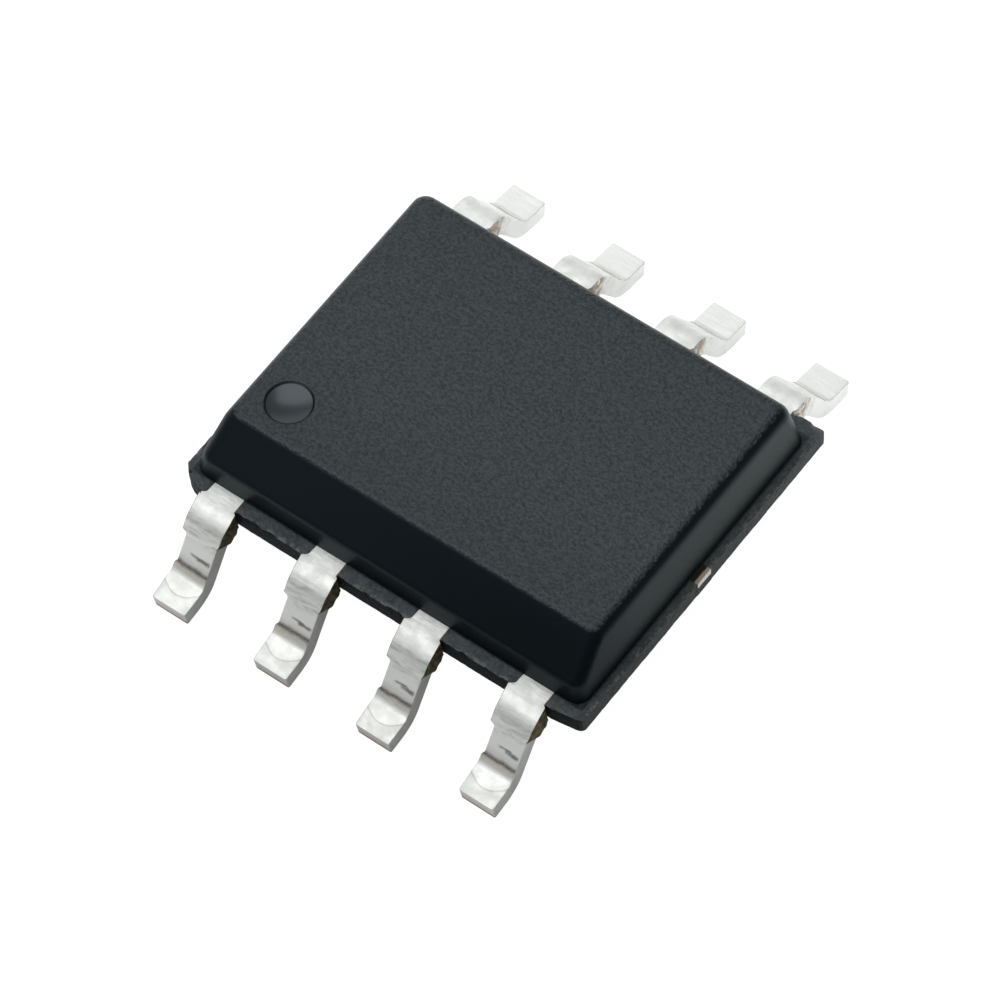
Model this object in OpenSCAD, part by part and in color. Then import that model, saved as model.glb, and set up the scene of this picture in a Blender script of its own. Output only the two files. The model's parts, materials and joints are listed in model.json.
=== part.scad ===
// Eight-lead small-outline microcontroller: a moulded body with gull-wing leads,
// and the die, paddle and bond wires that the body seals in.
// Millimetres. The seating plane is z = 0 and the origin lies under the middle of the body.
// +X runs along leads 1 to 4, starting at lead 1. +Y runs from leads 1 to 4 to leads 5 to 8.

/* [Body] */
// Length of the body at the parting plane
body_l = 4.78; // [4.6:0.01:5]
// Width of the body at the parting plane
body_w = 3.8; // [3.6:0.01:3.9]
// Height of the top face above the seating plane
body_top = 1.47; // [1.4:0.01:1.75]
// Height of the underside above the seating plane
standoff = 0.15; // [0.1:0.01:0.25]
// Lean of the moulded sides from the vertical, in degrees
draft = 10; // [5:1:15]
// Corner radius of the body in plan, at its top face
corner_r = 0.16; // [0.14:0.01:0.3]
// Radius of the rounded edges of the top and the underside
edge_r = 0.16; // [0.05:0.01:0.16]
// Height of the bevel along the side of lead 1
bevel_h = 0.39; // [0.25:0.01:0.45]

/* [Ledge at the parting plane] */
// Reach of the ledge beyond the body's ends
ledge_end = 0.1; // [0.05:0.01:0.12]
// Reach of the ledge between the leads
ledge_side = 0.17; // [0.1:0.01:0.18]
// Corner cut of the ledge in plan
ledge_cut = 0.07; // [0.03:0.01:0.15]

/* [Pin 1 dimple] */
// Diameter of the dimple at the top face
dimple_d = 0.5; // [0.3:0.01:0.6]
// Diameter of the dimple's floor
dimple_floor_d = 0.42; // [0.2:0.01:0.46]
// Depth of the dimple
dimple_depth = 0.07; // [0.03:0.01:0.1]
// Distance of the dimple's centre from the body's end
dimple_from_end = 0.58; // [0.5:0.01:0.8]
// Distance of the dimple's centre from the body's side
dimple_from_side = 0.88; // [0.85:0.01:1.2]

/* [Leads] */
// Distance between the middles of neighbouring leads
pitch = 1.27; // [1.2:0.01:1.3]
// Distance between the tips of opposite leads
lead_span = 6.04; // [5.9:0.01:6.3]
// Width of a lead outside the body
lead_w = 0.38; // [0.31:0.01:0.5]
// Thickness of the lead frame
frame_t = 0.2; // [0.17:0.01:0.25]
// Height of the lead frame's middle above the seating plane
frame_mid = 0.75; // [0.7:0.01:0.85]
// Straight length of a lead between the ledge and its upper bend
exit_l = 0.05; // [0.01:0.01:0.1]
// Inner radius of the lead's bends
bend_r = 0.09; // [0.06:0.01:0.13]
// Length of the flat of the foot
foot_l = 0.28; // [0.2:0.01:0.35]
// Lean of the foot's cut end, from its top edge to its bottom edge
toe_lean = 0.02; // [0.01:0.01:0.06]
// Width of the stub that the cut dam bar leaves on each side of a lead
stub_w = 0.06; // [0.02:0.01:0.1]
// Length of the stub below the upper bend
stub_drop = 0.12; // [0.05:0.01:0.2]

/* [Inner leads and paddle] */
// Width of a lead inside the body
finger_w = 0.46; // [0.3:0.01:0.6]
// Length of the narrow neck inside the body's side
neck_l = 0.2; // [0.1:0.01:0.3]
// Diameter of the hole that locks a lead in the moulding
lock_d = 0.22; // [0.1:0.01:0.26]
// Distance of the lock hole from the body's side
lock_from_side = 0.42; // [0.35:0.01:0.5]
// Gap between the paddle and the inner ends of the leads
tip_gap = 0.2; // [0.12:0.01:0.3]
// Length of the end lead's tip beside the paddle
tip_reach = 0.3; // [0.2:0.01:0.4]
// Length of the paddle
paddle_l = 2.2; // [1.6:0.01:2.3]
// Width of the paddle
paddle_w = 1.5; // [1.2:0.01:1.6]
// Width of the tie bars
tie_w = 0.22; // [0.15:0.01:0.3]

/* [Die and bond wires] */
// Length of the die
die_l = 1.2; // [1:0.01:1.5]
// Width of the die
die_w = 0.9; // [0.7:0.01:1.1]
// Thickness of the die
die_t = 0.2; // [0.15:0.01:0.25]
// Thickness of the adhesive under the die
attach_t = 0.02; // [0.01:0.005:0.03]
// Reach of the adhesive beyond the die
attach_edge = 0.05; // [0.02:0.01:0.08]
// Distance between neighbouring bond pads
pad_pitch = 0.28; // [0.15:0.01:0.3]
// Distance of the bond pads from the die's edge
pad_inset = 0.08; // [0.05:0.01:0.12]
// Diameter of a bond wire
wire_d = 0.025; // [0.02:0.001:0.03]
// Diameter of the ball at a wire's start
ball_d = 0.07; // [0.05:0.005:0.09]
// Height of the ball at a wire's start
ball_h = 0.02; // [0.015:0.001:0.03]
// Rise of the wire's loop above the straight line between its ends
loop_h = 0.25; // [0.2:0.01:0.3]
// Length of the wire's flattened end on the lead
stitch_l = 0.08; // [0.05:0.01:0.12]
// Distance of a wire's end from the tip of the lead
stitch_inset = 0.12; // [0.08:0.01:0.2]

/* [Hidden] */
$fn = 64;
leads_per_side = 4;
lead_count = 2 * leads_per_side;

// Overshoot of cutting shapes beyond the faces that they cut
over = 0.2;
// Height by which the rounded corners stand proud of the sides that trim them
corner_proud = 0.001;
// Flats across each rounded edge of the body
edge_steps = 8;
// Flats round each bend of a lead
bend_steps = 10;

frame_top = frame_mid + frame_t / 2;
frame_bottom = frame_mid - frame_t / 2;
upper_h = body_top - frame_top;
lower_h = frame_bottom - standoff;

side_y = body_w / 2;
ledge_y = side_y + ledge_side;
ledge_x = body_l / 2 + ledge_end;

// The lead's middle line: two equal bends joined by a straight shank that touches both
outer_r = bend_r + frame_t;
upper_centre = [ledge_y + exit_l, frame_bottom - bend_r];
lower_centre = [lead_span / 2 - foot_l, frame_t + bend_r];
form_reach = norm(lower_centre - upper_centre);
form_angle = atan2(upper_centre[1] - lower_centre[1], lower_centre[0] - upper_centre[0])
    + asin((bend_r + outer_r) / form_reach);

tip_y = paddle_w / 2 + tip_gap;
tip_x = paddle_l / 2 + tip_gap + finger_w / 2;
end_tip_y = tip_y - tip_reach;

attach_top = frame_top + attach_t;
die_top = attach_top + die_t;

plastic = [0.17, 0.18, 0.19];
tin = [0.82, 0.83, 0.82];
copper = [0.72, 0.45, 0.3];
silicon = [0.42, 0.44, 0.5];
adhesive = [0.75, 0.75, 0.7];
gold = [0.85, 0.66, 0.25];

// Place of lead i in its row, from -1.5 to 1.5, and the side of the body that it is on
function row_place(i) = (i <= leads_per_side ? i : lead_count + 1 - i) - (leads_per_side + 1) / 2;
function row_side(i) = i <= leads_per_side ? -1 : 1;
function is_end_lead(i) = abs(row_place(i)) > leads_per_side / 2 - 1;

// Outline of a moulded half from its foot to its top: a leaning side with a rounded edge.
// It starts half_w out from the middle and stands proud of its true place by grow.
function side_outline(h, half_w, grow) =
    let (
        arc_x = half_w - h * tan(draft) - edge_r * (1 - sin(draft)) / cos(draft),
        arc_z = h - edge_r
    )
    concat(
        [[half_w + grow / cos(draft), 0]],
        [for (k = [0:edge_steps])
            let (a = draft + (90 - draft) * k / edge_steps)
            [arc_x, arc_z] + (edge_r + grow) * [cos(a), sin(a)]]
    );

// Section of a moulded half from side to side
module full_section(h, half_w) {
    right = side_outline(h, half_w, 0);
    last = len(right) - 1;
    polygon(concat(right, [for (k = [last:-1:0]) [-right[k][0], right[k][1]]]));
}

// One half of the moulding, standing on the parting plane
module moulded_half(h) {
    axis_in = corner_r + h * tan(draft);
    axis_x = body_l / 2 - axis_in;
    axis_y = body_w / 2 - axis_in;
    intersection() {
        rotate([90, 0, 90]) linear_extrude(body_l + 2 * over, center = true)
            full_section(h, body_w / 2);
        rotate([90, 0, 0]) linear_extrude(body_w + 2 * over, center = true)
            full_section(h, body_l / 2);
        union() {
            linear_extrude(h + over) square([2 * axis_x, body_w + 2 * over], center = true);
            linear_extrude(h + over) square([body_l + 2 * over, 2 * axis_y], center = true);
            for (x = [-axis_x, axis_x], y = [-axis_y, axis_y])
                translate([x, y, 0]) rotate(atan2(-y, -x)) rotate_extrude()
                    polygon(concat([[0, h + corner_proud], [0, 0]], side_outline(h, axis_in, corner_proud)));
        }
    }
}

// Wedge that takes the bevel off the top edge on the side of lead 1
module bevel_cut() {
    low_y = -side_y + (upper_h - bevel_h) * tan(draft);
    low_z = body_top - bevel_h;
    rotate([90, 0, 90]) linear_extrude(body_l + 2 * over, center = true)
        polygon([
            [low_y - over, low_z - over],
            [low_y + bevel_h + over, body_top + over],
            [low_y - over, body_top + over]
        ]);
}

module pin_1_dimple() {
    translate([-body_l / 2 + dimple_from_end, -side_y + dimple_from_side, body_top - dimple_depth])
        union() {
            cylinder(d1 = dimple_floor_d, d2 = dimple_d, h = dimple_depth);
            translate([0, 0, dimple_depth]) cylinder(d = dimple_d, h = over);
        }
}

// Thin ledge that the mould leaves in the plane of the lead frame
module ledge() {
    translate([0, 0, frame_bottom]) linear_extrude(frame_t)
        polygon([
            for (q = [[1, 1], [-1, 1], [-1, -1], [1, -1]], first = [0, 1])
                let (cut_x = (first == 0) == (q[0] * q[1] < 0))
                [q[0] * (ledge_x - (cut_x ? ledge_cut : 0)), q[1] * (ledge_y - (cut_x ? 0 : ledge_cut))]
        ]);
}

module body() {
    color(plastic) difference() {
        union() {
            difference() {
                translate([0, 0, frame_top]) moulded_half(upper_h);
                bevel_cut();
                pin_1_dimple();
            }
            translate([0, 0, frame_bottom]) mirror([0, 0, 1]) moulded_half(lower_h);
            ledge();
        }
        die_paddle();
        die_attach();
        die();
        for (i = [1:lead_count]) {
            lead(i);
            bond_wire(i);
        }
    }
}

// Points round the upper or the lower bend at a distance from its centre, going down the lead
function upper_bend(r) = [for (k = [0:bend_steps]) upper_centre + r * lean(form_angle * k / bend_steps)];
function lower_bend(r) = [for (k = [bend_steps:-1:0]) lower_centre - r * lean(form_angle * k / bend_steps)];
function lean(angle) = [sin(angle), cos(angle)];
function backwards(points) = [for (k = [len(points) - 1:-1:0]) points[k]];

// Section of the lead from a distance out to a length down the shank
module shoulder_section(from_y, down) {
    drop = down * [cos(form_angle), -sin(form_angle)];
    outer = upper_bend(outer_r);
    inner = upper_bend(bend_r);
    polygon(concat(
        [[from_y, frame_top]], outer, [outer[bend_steps] + drop],
        [inner[bend_steps] + drop], backwards(inner), [[from_y, frame_bottom]]
    ));
}

// Section of the formed lead, outward from the body's side to the tip
module gull_wing_section() {
    tip = lead_span / 2;
    polygon(concat(
        [[side_y, frame_top]], upper_bend(outer_r), lower_bend(bend_r), [[tip, frame_t]],
        [[tip - toe_lean, 0]], backwards(lower_bend(outer_r)), backwards(upper_bend(bend_r)),
        [[side_y, frame_bottom]]
    ));
}

// Plan of a lead inside the body, from its neck to its tip
module finger_plan(end_lead, lead_x) {
    shoulder_y = side_y - neck_l;
    half_w = finger_w / 2;
    translate([lead_x - lead_w / 2, shoulder_y]) square([lead_w, neck_l]);
    difference() {
        if (end_lead)
            polygon([
                [lead_x - half_w, shoulder_y],
                [lead_x - half_w, side_y - lock_from_side - half_w],
                [tip_x - half_w, tip_y + tip_gap],
                [tip_x - half_w, end_tip_y],
                [tip_x + half_w, end_tip_y],
                [tip_x + half_w, tip_y + tip_gap],
                [lead_x + half_w, side_y - lock_from_side - half_w],
                [lead_x + half_w, shoulder_y]
            ]);
        else
            translate([lead_x - half_w, tip_y]) square([finger_w, shoulder_y - tip_y]);
        translate([lead_x, side_y - lock_from_side]) circle(d = lock_d);
    }
}

module lead(i) {
    lead_x = abs(row_place(i)) * pitch;
    color(tin)
        mirror([row_place(i) < 0 ? 1 : 0, 0, 0]) mirror([0, row_side(i) < 0 ? 1 : 0, 0]) {
            translate([0, 0, frame_bottom]) linear_extrude(frame_t)
                finger_plan(is_end_lead(i), lead_x);
            translate([lead_x, 0, 0]) rotate([90, 0, 90]) {
                linear_extrude(lead_w, center = true) gull_wing_section();
                linear_extrude(lead_w + 2 * stub_w, center = true) shoulder_section(ledge_y, stub_drop);
            }
        }
}

module die_paddle() {
    color(copper) translate([0, 0, frame_bottom]) linear_extrude(frame_t) {
        square([paddle_l, paddle_w], center = true);
        square([2 * ledge_x, tie_w], center = true);
    }
}

module die_attach() {
    color(adhesive) translate([0, 0, frame_top]) linear_extrude(attach_t)
        square([die_l + 2 * attach_edge, die_w + 2 * attach_edge], center = true);
}

module die() {
    color(silicon) translate([0, 0, attach_top]) linear_extrude(die_t)
        square([die_l, die_w], center = true);
}

// Start of wire i on the die and its end on the lead, in plan
function pad_place(i) = [row_place(i) * pad_pitch, row_side(i) * (die_w / 2 - pad_inset)];
function stitch_place(i) = is_end_lead(i)
    ? [sign(row_place(i)) * tip_x, row_side(i) * (end_tip_y + stitch_inset)]
    : [row_place(i) * pitch, row_side(i) * (tip_y + stitch_inset)];

// Ball on the die, stitch on the lead and one arc of wire between them
module bond_wire(i) {
    from = pad_place(i);
    run = stitch_place(i) - from;
    run_l = norm(run);
    start = [0, die_top + ball_h / 2];
    end = [run_l, frame_top + wire_d / 2];
    half_chord = norm(end - start) / 2;
    loop_r = (half_chord * half_chord + loop_h * loop_h) / (2 * loop_h);
    turn = 2 * asin(half_chord / loop_r);
    slope = atan2(start[1] - end[1], run_l);
    centre = (start + end) / 2 - (loop_r - loop_h) * lean(slope);
    color(gold) translate([from[0], from[1], 0]) rotate(atan2(run[1], run[0])) {
        translate([0, 0, die_top]) cylinder(d = ball_d, h = ball_h);
        translate([centre[0], 0, centre[1]]) rotate([90, 0, 0]) rotate(90 - slope - turn / 2)
            rotate_extrude(angle = turn) translate([loop_r, 0]) circle(d = wire_d);
        translate([run_l - stitch_l / 2, -wire_d, frame_top]) cube([stitch_l, 2 * wire_d, wire_d]);
    }
}

body();
die_paddle();
die_attach();
die();
for (i = [1:lead_count]) {
    lead(i);
    bond_wire(i);
}
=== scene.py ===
import json
import math

import bmesh
import bpy
from mathutils import Matrix, Vector, noise


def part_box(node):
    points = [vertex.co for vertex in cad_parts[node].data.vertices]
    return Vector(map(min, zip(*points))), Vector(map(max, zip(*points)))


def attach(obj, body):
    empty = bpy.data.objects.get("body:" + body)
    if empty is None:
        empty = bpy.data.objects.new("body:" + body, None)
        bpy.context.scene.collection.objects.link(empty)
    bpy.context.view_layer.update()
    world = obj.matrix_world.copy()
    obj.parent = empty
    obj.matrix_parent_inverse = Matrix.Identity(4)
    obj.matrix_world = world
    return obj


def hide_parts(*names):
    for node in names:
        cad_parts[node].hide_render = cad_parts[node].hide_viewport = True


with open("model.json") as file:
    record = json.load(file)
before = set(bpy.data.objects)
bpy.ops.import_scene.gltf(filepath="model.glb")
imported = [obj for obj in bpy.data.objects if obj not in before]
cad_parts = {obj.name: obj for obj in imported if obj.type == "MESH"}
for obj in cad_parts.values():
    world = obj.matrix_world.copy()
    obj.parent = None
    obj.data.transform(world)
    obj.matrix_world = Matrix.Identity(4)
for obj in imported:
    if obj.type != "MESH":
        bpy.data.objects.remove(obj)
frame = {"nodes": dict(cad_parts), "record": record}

# Meshes are made in millimetres and scaled to metres once they are whole.
MM = 0.001
# Edges that turn more than this are shaded as sharp
SHARP_ANGLE = math.radians(42)
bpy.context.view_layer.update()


def node_box(node):
    """Lowest and highest corner of a CAD node in millimetres."""
    return [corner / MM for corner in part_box(node)]


# Sizes read from the frame
body_lo, body_hi = node_box("body")
paddle_lo, paddle_hi = node_box("die_paddle")
LEDGE_X, LEDGE_Y = body_hi.x, body_hi.y
TOP, UNDERSIDE = body_hi.z, body_lo.z
FRAME_TOP, FRAME_BOTTOM = paddle_hi.z, paddle_lo.z
FRAME_T = FRAME_TOP - FRAME_BOTTOM
LEAD_TIP = node_box("lead_5")[1].y
PINS = {m["name"].split("_")[1]: Vector(m["pos_m"]) / MM
        for m in frame["record"]["mounts"] if m["name"].startswith("foot")}
PITCH = PINS["2"].x - PINS["1"].x

# The two rows of leads, as signs of y: leads 1 to 4 and leads 5 to 8
FRONT, BACK = -1, 1

# Steps round the edges, corners and bends of the meshes and along their straight parts
EDGE_STEPS = 10
CORNER_STEPS = 10
BLEND_STEPS = 4
DIMPLE_SIDES = 64
LEDGE_LEVELS = 7
FLARE_STEPS = 8
BEND_STEPS = 16
SHANK_STEPS = 26
FOOT_STEPS = 8
TOE_STEPS = 6
LEAD_EDGE_STEPS = 3
LEAD_FACE_STEPS = 9
LEAD_SIDE_STEPS = 5

# The moulded body
DRAFT = math.radians(10)
LEDGE_END = 0.1
LEDGE_SIDE = 0.17
SIDE_X = LEDGE_X - LEDGE_END
SIDE_Y = LEDGE_Y - LEDGE_SIDE
CORNER_R = 0.15
RIM_CORNER_R = 0.05
EDGE_R = 0.16
BEVEL_H = 0.39
BEVEL_RUN = 0.43
BEVEL_SLEW = 0.008
BEVEL_TOP_R = 0.10
BEVEL_LOW_BLEND = 0.03
BEVEL_BLEND_REACH = 1.3
BEVEL_ANGLE = math.atan2(BEVEL_H, BEVEL_RUN)
FLAT_RIM = 0.02
ROOT = 0.05

# The pin 1 dimple, and the shares of its wall and its floor at which its rings lie
DIMPLE = Vector((-1.81, -1.02))
DIMPLE_R = 0.262
DIMPLE_FLOOR_R = 0.234
DIMPLE_WALL = 0.016
DIMPLE_DISH = 0.037
WALL_EASE_END = 1.15
WALL_SHARES = (0.0, 0.15, 0.3, 0.45, 0.6, 0.75, 0.88, 1.0)
FLOOR_SHARES = (0.96, 0.91, 0.85, 0.75, 0.65, 0.55, 0.45, 0.35, 0.25, 0.15, 0.05)

# The ledge: corner cuts in plan (along x, along y) by the signs of x and y
CORNER_CUT = {(-1, -1): (0.33, 0.20), (1, -1): (0.35, 0.10),
              (1, 1): (0.02, 0.03), (-1, 1): (0.06, 0.05)}
# The worn corner near lead 4: places in from the corner along x and y
BLUNT_CORNER = ((0.075, 0.04), (0.04, 0.052), (0.015, 0.072))
# The nick in the broken corner near lead 1: shares along the cut and depths
CORNER_NICK = ((0.1, -0.02), (0.27, -0.026), (0.31, 0.004),
               (0.37, -0.038), (0.6, -0.04), (0.82, -0.022))
LEDGE_STEP = 0.02
# Roughness and chips of its broken face, with waves as (waves per mm, share, seed)
LEDGE_ROUGH = 0.004
ROUGH_WAVES = ((9, 0.7, 1), (24, 0.5, 2))
ROUGH_INSET = 1.2
LEDGE_CHIP = 0.035
CHIP_WAVES = ((7, 0.6, 3), (18, 0.5, 4))
CHIP_BIAS = 0.1
CHIP_FROM = 0.55
END_CHIP = 0.5
SLOT_CLEAR = 0.002
SLOT_IN = 0.12
TIE_W = 0.22

# The leads. Their straight part and their place along the row differ a little between the rows
LEAD_W = 0.38
EXIT_L = {FRONT: 0.045, BACK: 0.07}
SHOULDER_ASIDE = {FRONT: -0.03, BACK: 0.0}
BEND_R = 0.09
FOOT_L = 0.30
FOOT_SLOPE = math.radians(8)
FOOT_SPREAD = 0.03
TOE_SPREAD = 0.018
TOE_ROUND = 0.016
TOE_INSET = 0.012
LEAD_EDGE = 0.008
LEAD_ROOT = 0.12
FINGER_CUT = 0.06
# The stub of the cut dam bar: whole on the side of lower x, cut ragged on the other
STUB_W = 0.06
STUB_DROP = 0.12
STUB_FADE = 0.012
STUB_FOOT = 0.55
FLARE_L = 0.07
FLARE_SHARES = (1.4, 1.0, 0.75, 0.5, 0.3, 0.15)
CUT_W = 0.05
CUT_START = 0.02
CUT_FADE = 0.05
CUT_TAPER = 0.4
CUT_TAPER_START = 0.05
CUT_FOOT = 1.1
CUT_LEAN = 0.6
CUT_WAVES = ((9, 0.15, 5), (24, 0.06, 6))
# Bare metal at the cut on the back row, which fades out down the lead
BACK_BARE = 0.8
BACK_BARE_FALL = (0.12, 0.24)
# The part inside the body shrinks a little: its start and end, and the loss of width and thickness
HIDDEN_FADE = (LEDGE_SIDE - 0.03, LEDGE_SIDE + 0.02)
HIDDEN_NARROW = 0.03
HIDDEN_THIN = 0.05
# Distances along over which the shoulder comes into line and the web under the back row's bend lies
ASIDE_END = (-0.02, 0.16)
WEB = 0.035
WEB_RISE, WEB_FALL = (-0.03, 0.0), (0.10, 0.26)
SWELL = 0.0025

MID_R = BEND_R + FRAME_T / 2
# The foot slopes down to its toe: its way, the way of its top, and the start of its middle line
FOOT_WAY = Vector((math.cos(FOOT_SLOPE), -math.sin(FOOT_SLOPE)))
FOOT_UP = Vector((math.sin(FOOT_SLOPE), math.cos(FOOT_SLOPE)))
HEEL = Vector((LEAD_TIP, 0)) + FRAME_T / 2 * Vector((-FOOT_UP.x, FOOT_UP.y)) - FOOT_L * FOOT_WAY


def lead_form(row):
    """Bend centres as (distance out, height), and the shank's slope and length, for a row."""
    upper = Vector((LEDGE_Y + EXIT_L[row], FRAME_BOTTOM - BEND_R))
    lower = HEEL + MID_R * FOOT_UP
    reach = (lower - upper).length
    angle = math.atan2(upper.y - lower.y, lower.x - upper.x) + math.asin(2 * MID_R / reach)
    return upper, lower, angle, math.sqrt(reach ** 2 - 4 * MID_R ** 2)


# Distances along a front lead's middle line from the ledge's face
_, _, FORM_ANGLE, SHANK_L = lead_form(FRONT)
SHANK_S = EXIT_L[FRONT] + MID_R * FORM_ANGLE
STUB_END = SHANK_S + STUB_DROP
LOWER_BEND_S = SHANK_S + SHANK_L
FOOT_S = LOWER_BEND_S + MID_R * (FORM_ANGLE - FOOT_SLOPE)
TIP_S = FOOT_S + FOOT_L
SWELL_END = (FOOT_S - 0.2, FOOT_S - 0.05)
# Marks of forming, as distances along a lead: the scratches, the line and the arc on the foot
DASH_S = LOWER_BEND_S - 0.226
FORMING_LINE_S = LOWER_BEND_S - 0.085
PRESS_END_S = FORMING_LINE_S + 0.03
SPREAD_END_S = FOOT_S + 0.1
ARC_CENTRE = Vector((-0.013, FOOT_S - 0.065))
ARC_R = 0.225
# The scratches: shift along, half width, left and right ends across, darkness
SCRATCHES = ((-0.012, 0.022, -0.09, 0.06, 0.7), (0.006, 0.038, -0.01, 0.15, 0.9))

# Camera: the photograph's direction, roll, distance and framing
CAM_AZIMUTH = math.radians(40.656)
CAM_ELEVATION = math.radians(58.237)
CAM_ROLL = math.radians(-4.770)
CAM_DISTANCE = 64.244
CAM_LENS = 230.37
CAM_SENSOR = 36
CAM_ASIDE = (-0.042, -0.018)
CAM_CLIP = (0.001, 10)

# Light: name, direction, size and power of each lamp, their distance, and the room's level
LAMPS = (
    ("softbox", (-0.30, 0.45, 0.84), 140, 0.032),
    ("overhead", (-0.25, -0.19, 0.95), 100, 0.0465),
    ("fill", (0.85, 0.30, 0.40), 100, 0.003),
    ("rim", (-0.70, 0.68, 0.22), 80, 0.010),
)
LAMP_DISTANCE = 80
ROOM_LEVEL = 0.055

# The floor: its colours in the light and as the camera sees it, and its glow to the camera
FLOOR_COLOUR = (0.4, 0.4, 0.4, 1)
FLOOR_SHADOW_COLOUR = (0.2, 0.2, 0.2, 1)
FLOOR_GLOW_SEEN = 0.975
# Its glow in mirrored rays, dimmed as a painted shadow round a point before the object: near that
# point, far from it, and the two distances
FLOOR_GLOW_NEAR, FLOOR_GLOW_FAR = 0.14, 1.0
FLOOR_NEAR, FLOOR_FAR = 2, 6
PAINTED_SHADOW_CENTRE = Vector((0, -1.5, 0))

# Colours of the resin: two broad shades, the pale grain, and the tints of its sheen
RESIN_DARK, RESIN_LIGHT = (0.0020, 0.0042, 0.0058), (0.0035, 0.0058, 0.0072)
RESIN_GRAIN = (0.034, 0.035, 0.034)
TOP_TINT, SIDE_TINT, FRONT_TINT = (0.82, 0.94, 1.0), (0.60, 0.94, 1.0), (0.62, 0.88, 1.0)
# Strength of its sheen: on the grain from dark to pale, in the dimple, on the sides, and as painted
# shade, weaker at the front's end of higher x and on the top towards the front
GRAIN_SHINE, DIMPLE_SHINE = (0.43, 0.80), 0.78
SIDE_SHINE, PAINTED_SHADE_FRONT_END_SHINE = 0.31, 0.17
PAINTED_SHADE_SHINE = 0.86
# Colours of the ledge's top, its specks, the painted shade in the crease at its inner edge, the stain
# beside a lead, and its outer faces, dark where they turn along y and lighter at the ends as painted
# light and shade
LEDGE_DARK, LEDGE_LIGHT = (0.028, 0.036, 0.041), (0.056, 0.066, 0.072)
LEDGE_PALE = (0.15, 0.15, 0.14)
SPECK_SIDE, SPECK_END = (0.13, 0.13, 0.115), (0.16, 0.125, 0.08)
LEDGE_CREASE_SHADE = (0.006, 0.007, 0.007)
LEDGE_STAIN = (0.10, 0.072, 0.046)
OUTER_SIDE_SHADE = (0.008, 0.009, 0.009)
OUTER_END_LIT_DARK, OUTER_END_LIT_LIGHT = (0.06, 0.065, 0.065), (0.13, 0.135, 0.13)
# Colours of the tin: two tones, the painted shade on the front leads' sides, the painted highlight on
# the shanks and back feet, worn places, the cut toe, and the bare metal at the cut dam bar, whose
# back-row copy is painted lighter against the shade under the shoulder
TIN_DARK, TIN_LIGHT = (0.84, 0.86, 0.83), (0.94, 0.955, 0.93)
TIN_SIDE_SHADE = (0.42, 0.43, 0.41)
TIN_PAINTED_HIGHLIGHT = (0.985, 1.0, 0.975)
TIN_WORN = (0.44, 0.46, 0.43)
TOE_COPPER, TOE_TIN = (0.60, 0.42, 0.30), (0.80, 0.80, 0.79)
CUT_BACK_LIT_DARK, CUT_BACK_LIT_LIGHT = (0.30, 0.24, 0.17), (0.66, 0.46, 0.33)
CUT_FRONT_DARK, CUT_FRONT_LIGHT = (0.07, 0.06, 0.034), (0.21, 0.18, 0.115)
# Colours of the forming marks, the first being painted shade above the forming line
SHADE_COLOUR = (0.20, 0.19, 0.175)
LINE_COLOUR = (0.14, 0.12, 0.10)
BLUSH_COLOUR = (0.62, 0.53, 0.43)
SCRATCH_COLOUR = (0.20, 0.19, 0.17)
ARC_COLOUR = (0.42, 0.42, 0.40)
BLACK = (0.0, 0.0, 0.0)
# Colours of the lead frame inside: copper, painted shade on the tie bar in the ledge's slot, bare edge
# and sheared end
COPPER_DARK, COPPER_LIGHT = (0.45, 0.22, 0.13), (0.62, 0.33, 0.2)
TIE_SLOT_SHADE = (0.021, 0.023, 0.018)
TIE_BARE = (0.34, 0.26, 0.21)
SHEAR_DARK, SHEAR_BRIGHT = (0.030, 0.032, 0.030), (0.72, 0.71, 0.66)
# Colours of the sealed pieces
GOLD_DARK, GOLD_LIGHT = (0.8, 0.55, 0.2), (0.9, 0.66, 0.28)
SILICON_DARK, SILICON_LIGHT = (0.16, 0.17, 0.22), (0.27, 0.26, 0.32)
ADHESIVE_DARK, ADHESIVE_LIGHT = (0.35, 0.35, 0.33), (0.62, 0.62, 0.58)


def wobble(place, scale, seed=0.0):
    """Smooth noise from -1 to 1 at a place, with waves of about 1 / scale."""
    return noise.noise(Vector(place) * scale + Vector((seed, 2 * seed, 3 * seed)))


def waves(place, parts, start=0.0):
    """A start value with parts of noise added, each as (waves per mm, share, seed)."""
    return sum((share * wobble(place, scale, seed) for scale, share, seed in parts), start)


def ease(value, start, end):
    """0 before start, 1 after end and a smooth rise between."""
    t = min(1.0, max(0.0, (value - start) / (end - start)))
    return t * t * (3 - 2 * t)


def finished_mesh(bm, name):
    """A mesh in metres from a bmesh in millimetres."""
    face_outward(bm)
    bmesh.ops.scale(bm, vec=(MM, MM, MM), verts=bm.verts)
    for face in bm.faces:
        face.smooth = True
    for edge in bm.edges:
        edge.smooth = edge.calc_face_angle(0.0) < SHARP_ANGLE
    mesh = bpy.data.meshes.new(name)
    bm.to_mesh(mesh)
    bm.free()
    return mesh


def add_piece(name, mesh, material, node):
    """Puts a mesh in the scene in place of a CAD node."""
    piece = bpy.data.objects.new(name, mesh)
    bpy.context.scene.collection.objects.link(piece)
    mesh.materials.clear()
    mesh.materials.append(material)
    weighted = piece.modifiers.new("even shading", "WEIGHTED_NORMAL")
    weighted.keep_sharp = True
    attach(piece, "root")
    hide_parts(node)


def face_outward(bm):
    """Turns the faces of a closed bmesh outward."""
    bm.normal_update()
    bmesh.ops.recalc_face_normals(bm, faces=bm.faces)
    if bm.calc_volume(signed=True) < 0:
        bmesh.ops.reverse_faces(bm, faces=bm.faces)


def bridge_rings(bm, rings):
    """Joins each closed ring of vertices to the next with faces."""
    for first, second in zip(rings, rings[1:]):
        for k in range(len(first)):
            bm.faces.new((first[k - 1], first[k], second[k], second[k - 1]))


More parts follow.
